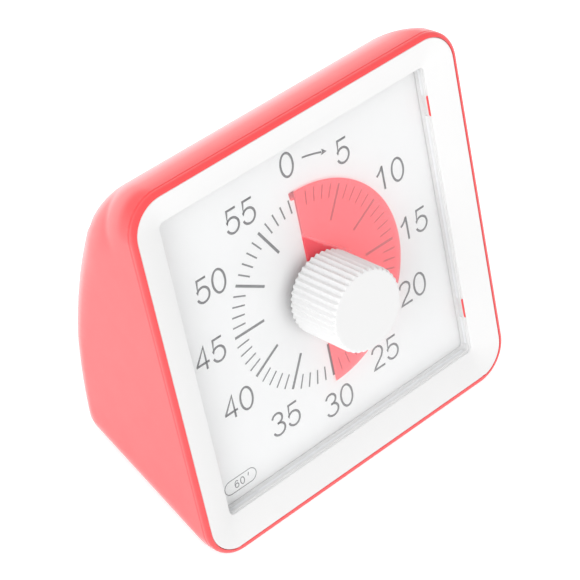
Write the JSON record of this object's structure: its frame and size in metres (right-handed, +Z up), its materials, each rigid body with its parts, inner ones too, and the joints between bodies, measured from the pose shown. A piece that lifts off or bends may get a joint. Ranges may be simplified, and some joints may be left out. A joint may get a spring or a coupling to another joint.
{
  "type": "visual countdown timer",
  "caption": "Wedge-shaped countdown timer with a square leaning face, a ribbed setting knob and a red film disc that shows the time left on a sixty-minute dial.",
  "frame": {"origin": "middle of the outline's footprint, on the surface that the timer stands on", "axes": "+X to the right seen from the front, +Y towards the back, +Z up; the face looks along -Y and upwards"},
  "size_m": [0.1408, 0.0912, 0.1225],
  "materials": {
    "coral_shell": "satin moulded",
    "white_plastic": "satin moulded",
    "knob_plastic": "satin moulded, ribbed rim",
    "printed_card": "smooth printed card",
    "red_film": "translucent satin film",
    "clear_lens": "polished clear sheet",
    "dark_plastic": "moulded",
    "gear_plastic": "moulded",
    "steel": "bright",
    "copper": "enamelled winding",
    "board_green": "solder mask",
    "rubber": "moulded",
    "cell_sleeve": "printed sleeve over steel can"
  },
  "bodies": {
    "housing": {"rear_shell": "coral_shell", "foot_1": "rubber", "foot_2": "rubber", "foot_3": "rubber", "foot_4": "rubber", "front_bezel": "white_plastic", "lens": "clear_lens", "dial_card": "printed_card", "backing_plate": "white_plastic", "movement_case_front": "dark_plastic", "movement_case_back": "dark_plastic", "stator": "steel", "motor_coil": "copper", "circuit_board": "board_green", "controller_chip": "dark_plastic", "case_screw_1": "steel", "case_screw_2": "steel", "case_screw_3": "steel", "case_screw_4": "steel", "plate_screw_1": "steel", "plate_screw_2": "steel", "plate_screw_3": "steel", "plate_screw_4": "steel", "movement_screw_1": "steel", "movement_screw_2": "steel", "battery_cell": "cell_sleeve", "battery_spring": "steel", "battery_contact": "steel", "sound_switch_body": "dark_plastic", "buzzer": "dark_plastic"},
    "dial_drive": {"knob": "knob_plastic", "output_shaft": "steel", "disc_clamp": "white_plastic", "red_disc": "red_film", "output_wheel": "gear_plastic"},
    "third_wheel": {"third_wheel": "gear_plastic"},
    "second_wheel": {"second_wheel": "gear_plastic"},
    "rotor": {"rotor": "steel"},
    "battery_door": {"battery_door": "coral_shell"},
    "sound_switch_slider": {"sound_switch_slider": "dark_plastic"}
  },
  "joints": [
    {"name": "knob_turn", "type": "hinge", "parent": "housing", "child": "dial_drive", "pos_m": [0, -0.01166, 0.0618], "axis": [0, 0.8712, -0.4909], "range_deg": [-178, 178]},
    {"name": "third_spin", "type": "hinge", "parent": "housing", "child": "third_wheel", "pos_m": [0.01273, 0.01201, 0.06307], "axis": [0, 0.8712, -0.4909], "range_deg": [-715, 715]},
    {"name": "second_spin", "type": "hinge", "parent": "housing", "child": "second_wheel", "pos_m": [0.00004, 0.01428, 0.06709], "axis": [0, 0.8712, -0.4909], "range_deg": [-2860, 2860]},
    {"name": "rotor_spin", "type": "hinge", "parent": "housing", "child": "rotor", "pos_m": [-0.00983, 0.01251, 0.06396], "axis": [0, 0.8712, -0.4909], "range_deg": [-11440, 11440]},
    {"name": "battery_door_swing", "type": "hinge", "parent": "housing", "child": "battery_door", "pos_m": [0, 0.03344, 0.02048], "axis": [-1, 0, 0], "range_deg": [0, 75]},
    {"name": "sound_switch_slide", "type": "slide", "parent": "housing", "child": "sound_switch_slider", "axis": [1, 0, 0], "range_m": [0, 0.004]}
  ],
  "couplings": [
    {"joint": "third_spin", "follows": "knob_turn", "ratio": -4},
    {"joint": "second_spin", "follows": "knob_turn", "ratio": 16},
    {"joint": "rotor_spin", "follows": "knob_turn", "ratio": -64}
  ]
}
